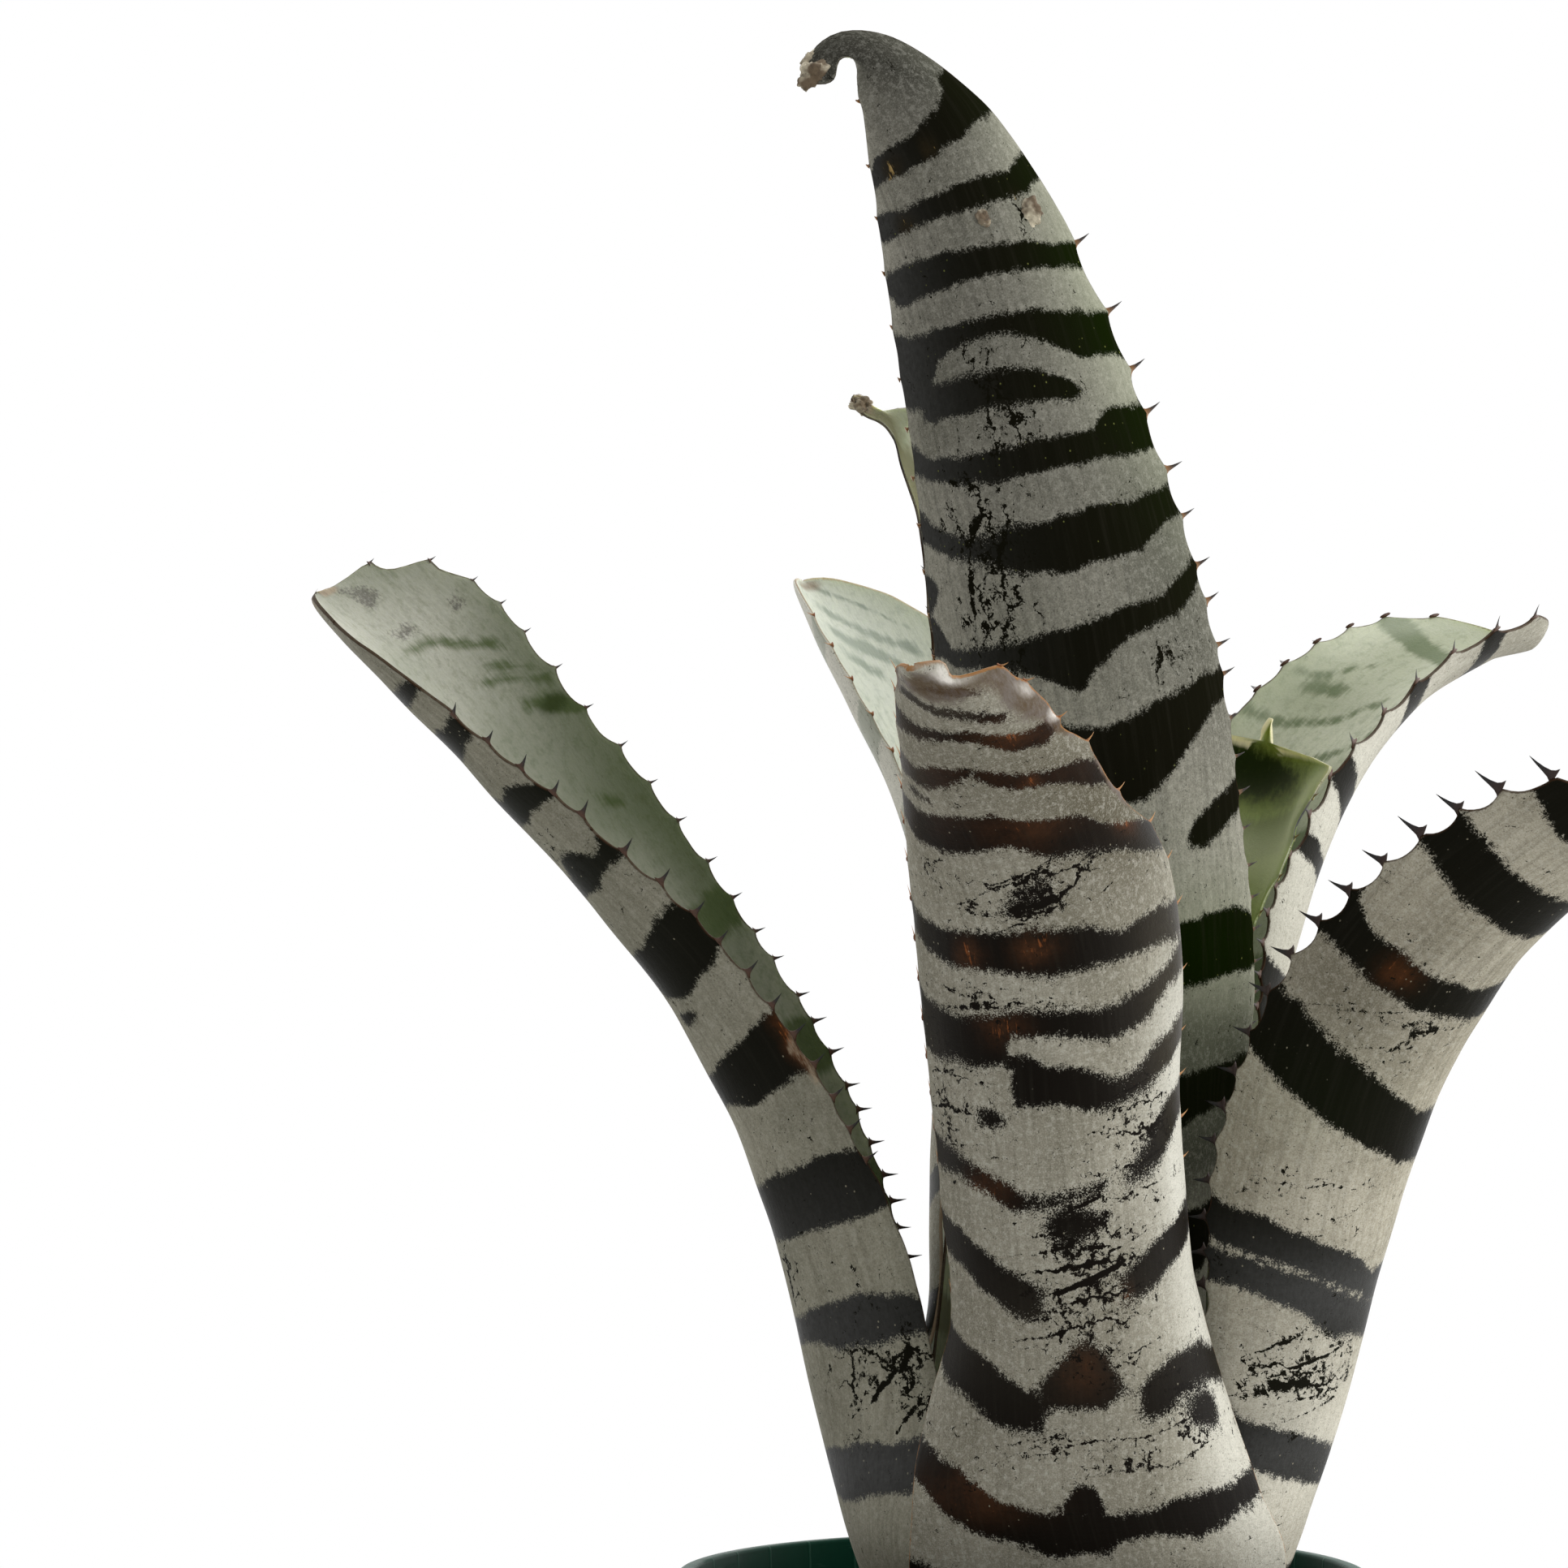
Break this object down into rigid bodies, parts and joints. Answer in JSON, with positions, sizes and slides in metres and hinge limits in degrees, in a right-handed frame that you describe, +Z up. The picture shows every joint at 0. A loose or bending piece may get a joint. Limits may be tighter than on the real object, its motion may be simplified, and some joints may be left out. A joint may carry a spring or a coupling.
{
  "type": "potted bromeliad",
  "caption": "Banded silver and dark green zebra bromeliad with spiny trough-shaped leaves in an upright rosette, growing in a plain green nursery pot.",
  "frame": {"origin": "middle of the pot's flat underside", "axes": "+Z up out of the pot, -Y towards the viewer of the picture, +X to the viewer's right"},
  "size_m": [0.3202, 0.331, 0.4971],
  "materials": {
    "pot_plastic": "dark green thin injection moulded plastic, satin gloss",
    "bark": "loose brown bark and peat mix, matte",
    "woody_stem": "pale fibrous stem, matte",
    "silver_leaf": "leathery green-black leaf with mealy silver cross bands, matte",
    "young_leaf": "leathery bright green leaf fading to grey-green, slightly glossy"
  },
  "bodies": {
    "root": {"pot": "pot_plastic", "bark_mix": "bark", "stem": "woody_stem", "leaf_front": "silver_leaf", "leaf_back": "silver_leaf", "leaf_left": "silver_leaf", "leaf_right": "silver_leaf", "leaf_back_left": "silver_leaf", "leaf_back_right": "silver_leaf", "leaf_tall": "silver_leaf", "leaf_upright_back": "silver_leaf", "leaf_young": "young_leaf"}
  },
  "joints": []
}
